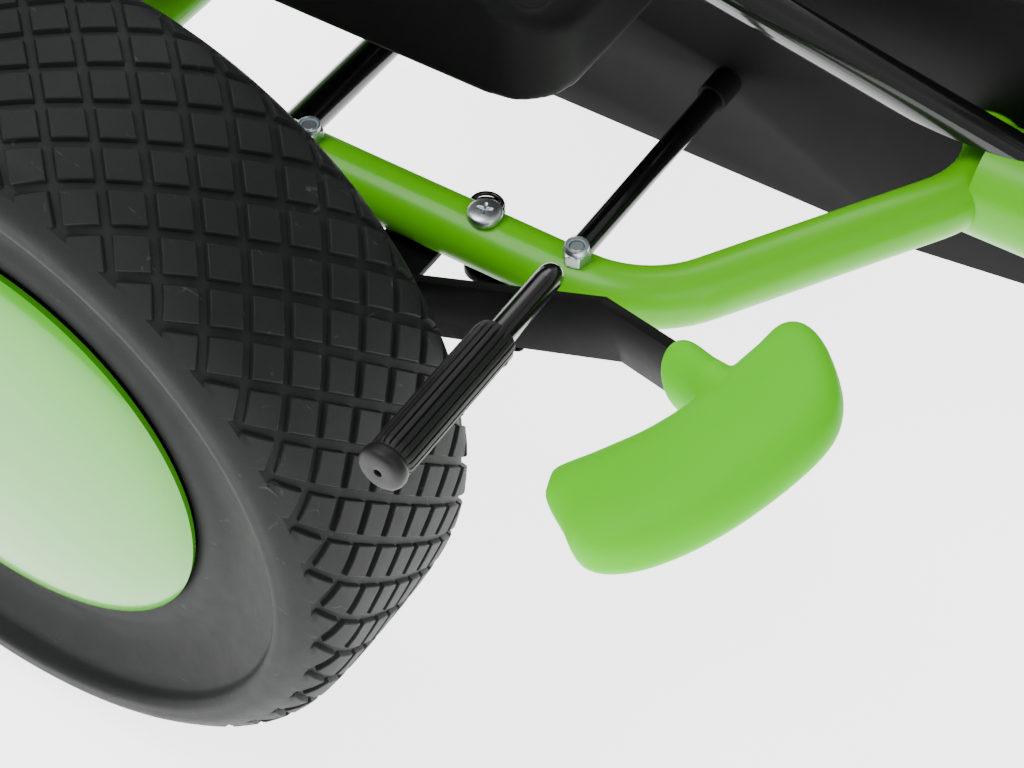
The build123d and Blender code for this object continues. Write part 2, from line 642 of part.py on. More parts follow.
side_view = Plane(origin=(CHAIN_X, 0, 0), x_dir=(0, 1, 0), z_dir=(1, 0, 0))
with BuildPart() as chain:
    with BuildSketch(side_view.offset(-3.6)):
        with BuildLine():
            loop_face(REAR_PITCH + 4, FRONT_PITCH + 4)
        make_face()
        with BuildLine():
            loop_face(REAR_PITCH - 2.4, FRONT_PITCH - 2.4)
        make_face(mode=Mode.SUBTRACT)
    extrude(amount=7.2)
    with BuildSketch(side_view.offset(-1.75)):
        with BuildLine():
            loop_face(REAR_PITCH + 2.2, FRONT_PITCH + 2.2)
        make_face()
    extrude(amount=3.5, mode=Mode.SUBTRACT)
save(chain.part, "chain")

# ---------------------------------------------------------------- chain guard
with BuildPart() as loop_clearance:
    with BuildLine():
        FilletPolyline(*loop_points, radius=BEND_R)
    with BuildSketch(loop_start):
        Circle(RAIL_R + 1.2)
    sweep()

GUARD_IN = 23.0
GUARD_OUT = 47.0


def guard_outline(grow):
    """Outline of the guard in the side view."""
    Polyline(
        (34 + grow, 131 - grow), (-245, 131 - grow), (-480, 163 - grow), (-560, 168 - grow),
        (-594 - grow, 205), (-600 - grow, 262), (-578, 308 + grow), (-530, 324 + grow),
        (-440, 318 + grow), (0, 214 + grow), (34 + grow, 200), (34 + grow, 131 - grow),
    )


with BuildPart() as chain_guard:
    with BuildSketch(Plane(origin=(GUARD_IN, 0, 0), x_dir=(0, 1, 0), z_dir=(1, 0, 0))):
        with BuildLine():
            guard_outline(0)
        make_face()
    extrude(amount=GUARD_OUT - GUARD_IN - 2)
    fillet(chain_guard.edges().filter_by(Axis.X), radius=9)
    with BuildSketch(Plane(origin=(GUARD_IN + 2, 0, 0), x_dir=(0, 1, 0), z_dir=(1, 0, 0))):
        with BuildLine():
            guard_outline(-2)
        make_face()
    extrude(amount=40, mode=Mode.SUBTRACT)
    # bearing boss of the brake shaft
    with Locations(Location((GUARD_IN - 6.5, -SHAFT_AHEAD, SHAFT_Z), (0, 90, 0))):
        Cylinder(SHAFT_R + 1.8, 15)
    with Locations(Location((GUARD_IN - 12, -SHAFT_AHEAD, SHAFT_Z), (0, 90, 0))):
        Cylinder(SHAFT_R + BUSH_GAP, 20, mode=Mode.SUBTRACT)
    with Locations(Location((GUARD_IN, 0, AXLE_Z), (0, 90, 0))):
        Cylinder(AXLE_R + 7, 30, mode=Mode.SUBTRACT)
    with Locations(Location((GUARD_IN, -CRANK_AHEAD, CRANK_Z), (0, 90, 0))):
        Cylinder(15.5, 30, mode=Mode.SUBTRACT)
    add(loop_clearance.part, mode=Mode.SUBTRACT)
save(chain_guard.part, "chain_guard")

with BuildPart() as guard_cover:
    with BuildSketch(Plane(origin=(GUARD_OUT - 1.95, 0, 0), x_dir=(0, 1, 0), z_dir=(1, 0, 0))):
        with BuildLine():
            guard_outline(0)
        make_face()
    extrude(amount=1.95)
    fillet(guard_cover.edges().filter_by(Axis.X), radius=9)
    with Locations(Location((GUARD_OUT, 0, AXLE_Z), (0, 90, 0))):
        Cylinder(AXLE_R + 7, 30, mode=Mode.SUBTRACT)
    with Locations(Location((GUARD_OUT, -CRANK_AHEAD, CRANK_Z), (0, 90, 0))):
        Cylinder(10, 30, mode=Mode.SUBTRACT)
    add(loop_clearance.part, mode=Mode.SUBTRACT)
save(guard_cover.part, "guard_cover")

# ---------------------------------------------------------------- pedal crank
with BuildPart() as crank_bushes:
    with Locations(Location((-4, -CRANK_AHEAD, CRANK_Z), (0, 90, 0))):
        Cylinder(11, 50)
        Cylinder(AXLE_R + BUSH_GAP, 60, mode=Mode.SUBTRACT)
save(crank_bushes.part, "crank_bushes")

ARM_X = 62.0
PEDAL_X = 118.0
pedal_spots = {
    -1: (CRANK_AHEAD, CRANK_Z + CRANK_LEN),
    1: (CRANK_AHEAD, CRANK_Z - CRANK_LEN),
}
crank_line = []
for side in (-1, 1):
    ahead, z = pedal_spots[side]
    corners = [(side * (PEDAL_X + 46), -ahead, z), (side * ARM_X, -ahead, z)]
    corners.append((side * ARM_X, -CRANK_AHEAD, CRANK_Z))
    crank_line += corners if side == -1 else corners[::-1]
with BuildPart() as crank:
    with BuildLine():
        FilletPolyline(*crank_line, radius=11)
    with BuildSketch(Plane(origin=crank_line[0], z_dir=(1, 0, 0))):
        Circle(6)
    sweep()
    with Locations(Location((0, -CRANK_AHEAD, CRANK_Z), (0, 90, 0))):
        Cylinder(AXLE_R, 2 * (ARM_X - 12))
    # stop collars of the pedals
    for side in (-1, 1):
        ahead, z = pedal_spots[side]
        with Locations(Location((side * (PEDAL_X - 42), -ahead, z), (0, 90, 0))):
            Cylinder(8, 4)
save(crank.part, "crank")


def pedal(side):
    ahead, z = pedal_spots[side]
    with BuildPart() as block:
        with Locations((side * PEDAL_X, -ahead, z)):
            Box(78, 62, 24)
        fillet(block.edges().filter_by(Axis.X), radius=8)
        with Locations([(side * (PEDAL_X + dx), -ahead, z) for dx in (-29.25, -9.75, 9.75, 29.25)]):
            Box(9, 70, 3, mode=Mode.PRIVATE)
        with Locations(Location((side * PEDAL_X, -ahead, z), (0, 90, 0))):
            Cylinder(6 + BUSH_GAP, 120, mode=Mode.SUBTRACT)
        for dx in (-29, -14.5, 0, 14.5, 29):
            with Locations([(side * (PEDAL_X + dx), -ahead, z + s * 12) for s in (-1, 1)]):
                Box(6, 70, 4, mode=Mode.SUBTRACT)
    return block.part


save(pedal(-1), "pedal_right")
save(pedal(1), "pedal_left")

with BuildPart() as pedal_caps:
    for side in (-1, 1):
        ahead, z = pedal_spots[side]
        with Locations(Location((side * (PEDAL_X + 43), -ahead, z), (0, 90, 0))):
            Cylinder(10, 7)
        with Locations(Location((side * (PEDAL_X + 43), -ahead, z), (0, 90, 0))):
            Cylinder(6.02, 9, mode=Mode.SUBTRACT)
save(pedal_caps.part, "pedal_caps")

# ---------------------------------------------------------------- front axle and steering


def knuckle(side):
    x = side * KINGPIN_X
    y = -FRONT_AHEAD
    arm_y = y - KNUCKLE_ARM
    with BuildPart() as body:
        # upper and lower lugs around the sleeve
        for low in (BEAM_Z + 30.4, BEAM_Z - 34.4):
            with BuildSketch(Plane.XY.offset(low)):
                with Locations((x, y)):
                    Circle(13)
                with Locations((x + side * 11, y)):
                    Rectangle(22, 26)
            extrude(amount=4)
        with Locations((x + side * 20, y, (BEAM_Z + 34.4 + FRONT_R - 14) / 2)):
            Box(5, 28, BEAM_Z + 34.4 - FRONT_R + 14)
        # kingpin
        with Locations((x, y, BEAM_Z)):
            Cylinder(5, 76)
        with Locations([(x, y, BEAM_Z + 37), (x, y, BEAM_Z - 37)]):
            Cylinder(8, 5)
        # stub axle
        stub_in = x + side * 18
        stub_out = side * (FRONT_FACE_X - 13)
        with Locations(Location(((stub_in + stub_out) / 2, y, FRONT_R), (0, 90, 0))):
            Cylinder(6, abs(stub_out - stub_in))
        with Locations(Location((x + side * 25, y, FRONT_R), (0, 90, 0))):
            Cylinder(11, 8)
        # steering arm and its pin
        with BuildSketch(Plane.XY.offset(BEAM_Z + 30.4)):
            with Locations((x, (y + arm_y) / 2)):
                Rectangle(14, KNUCKLE_ARM)
            with Locations((x, arm_y)):
                Circle(9)
        extrude(amount=4)
        with Locations((x, arm_y, BEAM_Z + 44)):
            Cylinder(3, 24)
    return body.part


save(knuckle(-1), "knuckle_right")
save(knuckle(1), "knuckle_left")

with BuildPart() as stub_nuts_right:
    seat = Location((-(FRONT_FACE_X - 21.9), -FRONT_AHEAD, FRONT_R), (0, -90, 0))
    add(lock_nut(6.02, 19, 8).moved(seat))
save(stub_nuts_right.part, "stub_nut_right")
with BuildPart() as stub_nuts_left:
    seat = Location((FRONT_FACE_X - 21.9, -FRONT_AHEAD, FRONT_R), (0, 90, 0))
    add(lock_nut(6.02, 19, 8).moved(seat))
save(stub_nuts_left.part, "stub_nut_left")

tilt = math.radians(COLUMN_TILT)
arm_dir = Vector(0, -math.cos(tilt), math.sin(tilt))
foot_plane = Plane(origin=COLUMN_FOOT, x_dir=(1, 0, 0), z_dir=column_dir)
with BuildPart() as steering_shaft:
    with BuildSketch(foot_plane.offset(-4)):
        Circle(8)
    extrude(amount=COLUMN_LEN + 4)
    # stop collar above the lower sleeve
    with BuildSketch(foot_plane.offset(42.5)):
        Circle(12)
    extrude(amount=6)
    # steering arm with the tie rod pin
    with BuildSketch(foot_plane.offset(6)):
        Circle(13)
        with Locations((0, -PITMAN / 2)):
            Rectangle(16, PITMAN)
        with Locations((0, -PITMAN)):
            Circle(8)
    extrude(amount=4)
    with BuildSketch(foot_plane.offset(-10)):
        with Locations((0, -PITMAN)):
            Circle(4)
    extrude(amount=18)
save(steering_shaft.part, "steering_shaft")

pin = Vector(*COLUMN_FOOT) - foot_plane.y_dir * PITMAN


def tie_rod(side, level):
    """Rod from the column pin to the knuckle pin; the inner eye sits at its level on the pin."""
    inner = pin + Vector(*column_dir) * level
    outer = Vector(side * KINGPIN_X, -FRONT_AHEAD - KNUCKLE_ARM, BEAM_Z + 46)
    along = (outer - inner).normalized()
    with BuildPart() as rod:
        with BuildSketch(Plane(origin=inner, x_dir=(1, 0, 0), z_dir=column_dir)):
            Circle(8)
        extrude(amount=1.8, both=True)
        with BuildSketch(Plane(origin=outer, z_dir=(0, 0, 1))):
            Circle(9)
        extrude(amount=2.5, both=True)
        length = (outer - inner).length
        with BuildSketch(Plane(origin=inner + along * 6.5, z_dir=along)):
            Circle(1.8)
        extrude(amount=14)
        with BuildSketch(Plane(origin=inner + along * 16, z_dir=along)):
            Circle(4)
        extrude(amount=length - 16 - 7.5)
        with BuildSketch(Plane(origin=inner, x_dir=(1, 0, 0), z_dir=column_dir)):
            Circle(4 + BUSH_GAP)
        extrude(amount=20, both=True, mode=Mode.SUBTRACT)
        with BuildSketch(Plane(origin=outer, z_dir=(0, 0, 1))):
            Circle(5.2)
        extrude(amount=20, both=True, mode=Mode.SUBTRACT)
    return rod.part


save(tie_rod(-1, 3.2), "tie_rod_right")
save(tie_rod(1, -3.4), "tie_rod_left")

RIM_R = 135.0
wheel_centre = on_column(COLUMN_LEN - 10)
wheel_plane = Plane(origin=wheel_centre, x_dir=(1, 0, 0), z_dir=column_dir)
with BuildPart() as steering_wheel:
    with BuildSketch(wheel_plane.offset(0)):
        Circle(30)
    extrude(amount=12, both=True)
    for angle in (-8, 188, 90):
        a = math.radians(angle)
        direction = wheel_plane.x_dir * math.cos(a) + wheel_plane.y_dir * math.sin(a)
        start = Vector(*wheel_centre) + direction * 24
        with BuildSketch(Plane(origin=start, x_dir=column_dir, z_dir=direction)):
            RectangleRounded(10, 24, 4)
        extrude(amount=RIM_R - 28)
    with BuildSketch(Plane(origin=wheel_centre, x_dir=(1, 0, 0), z_dir=wheel_plane.y_dir * -1)):
        with Locations((RIM_R, 0)):
            Circle(12)
    revolve(axis=Axis(wheel_centre, column_dir))
    with BuildSketch(foot_plane.offset(COLUMN_LEN - 30)):
        Circle(8.02)
    extrude(amount=30.2, mode=Mode.SUBTRACT)
save(steering_wheel.part, "steering_wheel")

with BuildPart() as wheel_badge:
    with BuildSketch(wheel_plane.offset(12.05)):
        Circle(26)
    extrude(amount=5)
    fillet(wheel_badge.faces().sort_by(Axis(wheel_centre, column_dir))[-1].edges(), radius=2.5)
save(wheel_badge.part, "steering_cap")

# ---------------------------------------------------------------- seat
seat_bolt_spots = [(x, y, SEAT_Z) for x in (-60, 60) for y in (-75, 35)]


def seat_block(inset, floor):
    """Bucket outline in the side view, local x = -ahead."""
    Polyline(
        (-SEAT_FRONT + inset, floor), (-SEAT_FRONT + inset, floor + 34), (-60, floor + 70),
        (60, floor + 118), (150 - inset, floor + 210), (212 - inset, floor + 330),
        (236 - inset, floor + 326), (200 - inset, floor + 130), (170 - inset, floor + 26),
        (140 - inset, floor), (-SEAT_FRONT + inset, floor),
    )


with BuildPart() as seat:
    with BuildSketch(Plane(origin=(-SEAT_HALF, 0, 0), x_dir=(0, 1, 0), z_dir=(1, 0, 0))):
        with BuildLine():
            seat_block(0, SEAT_Z)
        make_face()
    extrude(amount=2 * SEAT_HALF)
    fillet(seat.edges().filter_by(Axis.Z), radius=24)
    # sitting hollow and back hollow
    with BuildSketch(Plane(origin=(-SEAT_HALF + 12, 0, 0), x_dir=(0, 1, 0), z_dir=(1, 0, 0))):
        with BuildLine():
            Polyline((-SEAT_FRONT + 12, SEAT_Z + 200), (-SEAT_FRONT + 12, SEAT_Z + 16),
                     (125, SEAT_Z + 10), (158, SEAT_Z + 40), (192, SEAT_Z + 150),
                     (224, SEAT_Z + 345), (190, SEAT_Z + 400), (-SEAT_FRONT + 12, SEAT_Z + 200))
        make_face()
    extrude(amount=2 * SEAT_HALF - 24, mode=Mode.SUBTRACT)
    with Locations(seat_bolt_spots):
        Cylinder(3.1, 15, mode=Mode.SUBTRACT)
save(seat.part, "seat")

with BuildPart() as seat_frame:
    for side in (-1, 1):
        with Locations((side * 60, -12.5, SEAT_Z - 2.05)):
            Box(24, 195, 4)
        with BuildSketch(Plane.XY.offset(RAIL_Z)):
            with Locations((side * 60, 62)):
                Circle(10)
        extrude(amount=SEAT_Z - 3 - RAIL_Z)
    with Locations((0, -97, SEAT_Z - 2.05)):
        Box(144, 24, 4)
    stay_top = Vector(0, -97, SEAT_Z - 14)
    stay_foot = Vector(0, -311, RAIL_Z + 12)
    with BuildSketch(Plane(origin=stay_top, z_dir=stay_foot - stay_top)):
        Circle(9)
    extrude(amount=(stay_foot - stay_top).length)
    with Locations((0, -100, SEAT_Z - 9)):
        Box(24, 18, 12)
    # rest on the rear cross tube and on the socket
    with Locations(Location((0, 62, RAIL_Z), (0, 90, 0))):
        Cylinder(CROSS_R + 0.05, 400, mode=Mode.SUBTRACT)
    with Locations((0, 62, RAIL_Z - 20)):
        Box(300, 60, 40, mode=Mode.SUBTRACT)
    with Locations(Location((0, -311, RAIL_Z), (90, 0, 0))):
        Cylinder(SPINE_R + 4.05, 160, mode=Mode.SUBTRACT)
    with Locations(seat_bolt_spots):
        Cylinder(3.1, 40, mode=Mode.SUBTRACT)
save(seat_frame.part, "seat_frame")

with BuildPart() as seat_bolts:
    for x, y, z in seat_bolt_spots:
        add(hex_bolt(3.0, 10.5, 10, 4).moved(Location((x, y, z - 4.1))))
save(seat_bolts.part, "seat_bolts")

# ---------------------------------------------------------------- front shield
with BuildPart() as front_shield:
    with BuildSketch(Plane(origin=(0, 0, 0), x_dir=(0, 1, 0), z_dir=(1, 0, 0))):
        with BuildLine():
            Polyline((-811, 165), (-845, 175), (-838, 300), (-805, 395), (-801, 393), (-832, 298),
                     (-838, 182), (-811, 172), (-811, 165))
        make_face()
    extrude(amount=105, both=True)
    with Locations([(s * 70, -811 - 3, BEAM_Z) for s in (-1, 1)]):
        Box(30, 6, 40)
    for side in (-1, 1):
        with BuildSketch(Plane(origin=(side * 70, -811, BEAM_Z), z_dir=(0, -1, 0))):
            Circle(13)
        extrude(amount=27)
save(front_shield.part, "front_shield")
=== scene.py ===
import json
import math

import bpy
import numpy as np
from mathutils import Matrix, Vector


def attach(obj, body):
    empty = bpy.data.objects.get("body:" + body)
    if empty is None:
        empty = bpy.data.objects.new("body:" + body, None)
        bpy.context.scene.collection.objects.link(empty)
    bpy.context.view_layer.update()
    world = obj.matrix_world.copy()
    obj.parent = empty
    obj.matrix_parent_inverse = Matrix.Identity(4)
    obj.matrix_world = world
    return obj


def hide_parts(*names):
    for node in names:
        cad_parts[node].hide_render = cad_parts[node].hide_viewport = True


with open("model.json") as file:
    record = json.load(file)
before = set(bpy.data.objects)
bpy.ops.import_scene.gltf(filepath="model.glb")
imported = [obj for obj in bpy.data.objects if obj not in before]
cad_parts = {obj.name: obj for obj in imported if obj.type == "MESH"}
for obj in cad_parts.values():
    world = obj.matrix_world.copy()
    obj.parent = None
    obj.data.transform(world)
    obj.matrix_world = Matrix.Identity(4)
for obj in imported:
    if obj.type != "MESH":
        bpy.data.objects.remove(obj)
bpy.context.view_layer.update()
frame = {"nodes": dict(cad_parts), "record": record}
NODES = frame["nodes"]

MM = 0.001
MIDDLE_AHEAD = 0.3245            # Y = MIDDLE_AHEAD - distance ahead of the rear axle
TAU = 2 * math.pi
SURFACE_IOR = 1.5


def spot(x, ahead, z):
    """Point in the row frame from millimetres left, ahead of the rear axle and up."""
    return Vector((x * MM, MIDDLE_AHEAD - ahead * MM, z * MM))


# ---------------------------------------------------------------- materials
def surface(name, color, rough, metal=0.0, tint=None, patch=9.0, patch_mix=0.5, rough_vary=0.08,
            grain=900.0, grain_depth=0.0, coat=0.0, coat_rough=0.1, scuff=0.0, shine=0.5, glow=0.0):
    """Procedural finish: two tones in soft patches, varied roughness, fine grain and faint scuffs.

    Sizes of patches and grain are noise scales per metre, grain_depth is in metres, shine is the
    strength of the mirror reflection and glow the strength of emitted white light.
    """
    mat = bpy.data.materials.new(name)
    mat.use_nodes = True
    tree = mat.node_tree
    shader = tree.nodes["Principled BSDF"]
    shader.inputs["Metallic"].default_value = metal
    shader.inputs["IOR"].default_value = SURFACE_IOR
    shader.inputs["Specular IOR Level"].default_value = shine
    shader.inputs["Emission Color"].default_value = (1, 1, 1, 1)
    shader.inputs["Emission Strength"].default_value = glow
    shader.inputs["Coat Weight"].default_value = coat
    shader.inputs["Coat Roughness"].default_value = coat_rough

    def add(kind, **settings):
        node = tree.nodes.new(kind)
        for key, value in settings.items():
            if key in node.inputs:
                node.inputs[key].default_value = value
            else:
                setattr(node, key, value)
        return node

    def link(a, a_out, b, b_in):
        tree.links.new(a.outputs[a_out], b.inputs[b_in])

    where = add("ShaderNodeTexCoord")
    soft = add("ShaderNodeTexNoise", Scale=patch, Detail=5.0, Roughness=0.6)
    link(where, "Object", soft, "Vector")
    tone = add("ShaderNodeMapRange")
    tone.inputs["From Min"].default_value = 0.35
    tone.inputs["From Max"].default_value = 0.65
    tone.inputs["To Max"].default_value = patch_mix
    link(soft, "Fac", tone, "Value")
    mix = add("ShaderNodeMix", data_type="RGBA")
    other = tint or tuple(c * 0.8 for c in color)
    mix.inputs[6].default_value = (*color, 1)
    mix.inputs[7].default_value = (*other, 1)
    tree.links.new(tone.outputs["Result"], mix.inputs["Factor"])
    color_out = mix.outputs[2]
    gloss = add("ShaderNodeTexNoise", Scale=patch * 6, Detail=6.0, Roughness=0.7)
    link(where, "Object", gloss, "Vector")
    spread = add("ShaderNodeMapRange")
    spread.inputs["To Min"].default_value = max(rough - rough_vary, 0.02)
    spread.inputs["To Max"].default_value = rough + rough_vary
    link(gloss, "Fac", spread, "Value")
    rough_out = spread.outputs["Result"]
    if scuff:
        # thin pale marks along the edges of stretched cells
        stretch = add("ShaderNodeMapping")
        stretch.inputs["Scale"].default_value = (1.0, 0.35, 0.6)
        stretch.inputs["Rotation"].default_value = (0.4, 0.9, 0.3)
        link(where, "Object", stretch, "Vector")
        warp = add("ShaderNodeTexNoise", Scale=60.0, Detail=2.0)
        link(stretch, "Vector", warp, "Vector")
        shift = add("ShaderNodeVectorMath", operation="MULTIPLY_ADD")
        link(warp, "Color", shift, 0)
        shift.inputs[1].default_value = (0.02, 0.02, 0.02)
        link(stretch, "Vector", shift, 2)
        cells = add("ShaderNodeTexVoronoi", feature="DISTANCE_TO_EDGE", Scale=55.0)
        link(shift, "Vector", cells, "Vector")
        line = add("ShaderNodeMapRange")
        line.inputs["From Max"].default_value = 0.018
        line.inputs["To Min"].default_value = 1.0
        line.inputs["To Max"].default_value = 0.0
        link(cells, "Distance", line, "Value")
        gate = add("ShaderNodeMapRange")
        gate.inputs["From Min"].default_value = 0.56
        gate.inputs["From Max"].default_value = 0.66
        gate.inputs["To Max"].default_value = scuff
        link(gloss, "Fac", gate, "Value")
        both = add("ShaderNodeMath", operation="MULTIPLY")
        link(line, "Result", both, 0)
        link(gate, "Result", both, 1)
        marks = add("ShaderNodeMix", data_type="RGBA")
        tree.links.new(both.outputs[0], marks.inputs["Factor"])
        tree.links.new(color_out, marks.inputs[6])
        marks.inputs[7].default_value = (*[min(1.0, c * 3 + 0.05) for c in color], 1)
        color_out = marks.outputs[2]
    tree.links.new(color_out, shader.inputs["Base Color"])
    tree.links.new(rough_out, shader.inputs["Roughness"])
    if grain_depth:
        fine = add("ShaderNodeTexNoise", Scale=grain, Detail=3.0, Roughness=0.6)
        link(where, "Object", fine, "Vector")
        bump = add("ShaderNodeBump", Distance=grain_depth, Strength=1.0)
        link(fine, "Fac", bump, "Height")
        link(bump, "Normal", shader, "Normal")
    return mat


GREEN_PAINT = surface("green_paint", (0.088, 0.41, 0.0), 0.34, tint=(0.078, 0.375, 0.0),
                      patch=5, coat=0.12, coat_rough=0.18, grain=260, grain_depth=0.00005,
                      rough_vary=0.05, shine=0.2)
BLACK_PAINT = surface("black_paint", (0.003, 0.003, 0.0033), 0.22, tint=(0.005, 0.005, 0.005),
                      patch=14, coat=0.35, coat_rough=0.08, grain=700, grain_depth=0.00004,
                      rough_vary=0.06, shine=0.3)
BLACK_PLATE = surface("black_plate_coat", (0.0035, 0.0035, 0.0038), 0.5, tint=(0.006, 0.006, 0.006),
                      patch=14, grain=1500, grain_depth=0.00005, rough_vary=0.08, shine=0.07)
BLACK_PLASTIC = surface("black_plastic", (0.004, 0.0042, 0.0042), 0.55, tint=(0.0065, 0.0065, 0.0067),
                        patch=10, grain=1800, grain_depth=0.00008, rough_vary=0.06, shine=0.07)
FOAM = surface("foam_tyre", (0.0105, 0.011, 0.0112), 0.58, tint=(0.016, 0.0165, 0.017),
               patch=16, patch_mix=0.8, grain=1300, grain_depth=0.00011, rough_vary=0.1,
               scuff=0.55, shine=0.12)
RIB_RUBBER = surface("rib_rubber", (0.004, 0.004, 0.0042), 0.5, tint=(0.007, 0.007, 0.007),
                     patch=40, grain=2200, grain_depth=0.00007, shine=0.25)
GRIP_GREEN = surface("grip_green", (0.085, 0.52, 0.0), 0.5, tint=(0.075, 0.48, 0.0),
                     patch=8, grain=1600, grain_depth=0.00003, rough_vary=0.05, shine=0.1)
CAP_GREEN = surface("cap_green", (0.065, 0.40, 0.003), 0.24, tint=(0.057, 0.37, 0.003),
                    patch=6, coat=0.3, coat_rough=0.05, grain=400, grain_depth=0.00003, rough_vary=0.04)
ZINC = surface("zinc_plate", (0.50, 0.56, 0.55), 0.36, metal=1.0, tint=(0.48, 0.50, 0.56),
               patch=90, grain=2500, grain_depth=0.00003, rough_vary=0.1)
OILED_STEEL = surface("oiled_steel", (0.13, 0.125, 0.12), 0.36, metal=1.0, tint=(0.07, 0.068, 0.065),
                      patch=60, grain=1400, grain_depth=0.00005, rough_vary=0.12)
NYLON = surface("nylon", (0.62, 0.62, 0.58), 0.5, tint=(0.55, 0.55, 0.5), patch=30,
                grain=1500, grain_depth=0.00003)
NYLON_RING = surface("nylon_ring", (0.16, 0.22, 0.25), 0.4, tint=(0.12, 0.18, 0.2), patch=60,
                     grain=1500, grain_depth=0.00003)

SLOT_LOOK = {
    "frame_green": GREEN_PAINT,
    "black_steel": BLACK_PAINT,
    "zinc": ZINC,
    "axle_steel": OILED_STEEL,
    "foam_tyre": FOAM,
    "rubber_black": RIB_RUBBER,
    "plastic_black": BLACK_PLASTIC,
    "grip_green": GRIP_GREEN,
    "cap_green": CAP_GREEN,
    "bush_white": NYLON,
}
NODE_LOOK = {
    "rear_axle": BLACK_PAINT,
    "brake_lever": BLACK_PLATE,
    "lever_bracket": BLACK_PLATE,
    "brake_saddle": BLACK_PLATE,
    "brake_link": BLACK_PLATE,
    "spring_hanger": BLACK_PLATE,
}
node_slot = {p["node"]: p["material_slot"] for p in frame["record"]["subparts"]}


def dress(obj, mat):
    obj.data.materials.clear()
    obj.data.materials.append(mat)


for node_name, node in NODES.items():
    dress(node, NODE_LOOK.get(node_name) or SLOT_LOOK[node_slot[node_name]])


# ---------------------------------------------------------------- mesh helpers
def piece(name, verts, faces, mat, body, slot, stands_for=(), sharp=35.0):
    """A new mesh that rides on a CAD body and stands for the named CAD nodes."""
    mesh = bpy.data.meshes.new(name)
    mesh.from_pydata([tuple(v) for v in verts], [], [tuple(f) for f in faces])
    mesh.update()
    mesh.shade_smooth()
    mesh.set_sharp_from_angle(angle=math.radians(sharp))
    obj = bpy.data.objects.new(name, mesh)
    bpy.context.scene.collection.objects.link(obj)
    dress(obj, mat)
    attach(obj, body)
    if stands_for:
        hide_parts(*stands_for)
    return obj


def smooth_line(points, steps):
    """Points along a smooth line through the given ones, evenly shared between them."""
    pts = [np.array(p, float) for p in points]
    pts = [2 * pts[0] - pts[1]] + pts + [2 * pts[-1] - pts[-2]]
    out = []
    for i in range(1, len(pts) - 2):
        a, b, c, d = pts[i - 1:i + 3]
        for k in range(steps):
            t = k / steps
            out.append(0.5 * (2 * b + (c - a) * t + (2 * a - 5 * b + 4 * c - d) * t * t
                              + (3 * b - a - 3 * c + d) * t ** 3))
    out.append(pts[-2])
    return np.array(out)


def grid_faces(rows, cols, wrap=True, flip=False, start=0):
    """Quads of a rows x cols grid of vertices, closed round the columns."""
    faces = []
    for i in range(rows - 1):
        for j in range(cols if wrap else cols - 1):
            k = (j + 1) % cols
            quad = [start + i * cols + j, start + i * cols + k,
                    start + (i + 1) * cols + k, start + (i + 1) * cols + j]
            faces.append(quad[::-1] if flip else quad)
    return faces


def joined(parts):
    """One vertex list and face list from several."""
    verts, faces = [], []
    for more_verts, more_faces in parts:
        base = len(verts)
        verts += [tuple(v) for v in more_verts]
        faces += [tuple(base + i for i in f) for f in more_faces]
    return verts, faces


def modify(obj, kind, **settings):
    mod = obj.modifiers.new(kind.lower(), kind)
    for key, value in settings.items():
        setattr(mod, key, value)
    return mod


# ---------------------------------------------------------------- tyres
REAR_RADIUS = 165.0
REAR_WIDTH = 107.6
FRONT_RADIUS = 145.0
FRONT_WIDTH = 92.0
REAR_FACE_X = 295.0              # outer face rings of the tyres
FRONT_FACE_X = 287.0
FRONT_AHEAD = 740.0
TREAD_MIDDLE = REAR_WIDTH / 2
GROOVES_ROUND = 44
DIAMOND_ACROSS = 22.1            # spacing of groove crossings across the tread, mm
CROSSING_ANGLE = math.radians(62.1)
CROSSING_ACROSS = 57.75
GROOVE_DEPTH = 2.2
# shares of the groove spacing at which the block edge starts, turns and ends
EDGE = [0.0, 0.094, 0.126, 0.15, 0.5]
RISE = [0.0, 0.0, 0.86, 1.0, 1.0]
TREAD_LINE = smooth_line([
    (0, 142.6), (0.8, 148.5), (4.3, 154.2), (10.5, 160.6), (20, 163.9), (40, 165), (TREAD_MIDDLE, 165),
    (67.6, 165), (87.6, 163.9), (97.1, 160.6), (103.3, 154.2), (106.8, 148.5), (REAR_WIDTH, 142.6),
], 6)
OUTER_WALL = smooth_line([
    (0, 142.6), (0.25, 140.6), (2.2, 138.4), (5.6, 137.2), (7.4, 135.6), (9.2, 130),
    (12.2, 123), (14.3, 117), (14.6, 111), (13.2, 105), (12.9, 100), (13.6, 96), (15.5, 93.5), (18, 92),
], 3)
INNER_WALL = smooth_line([
    (REAR_WIDTH, 142.6), (106.4, 139), (102, 137), (98.5, 126), (97, 112), (97, 92),
], 3)


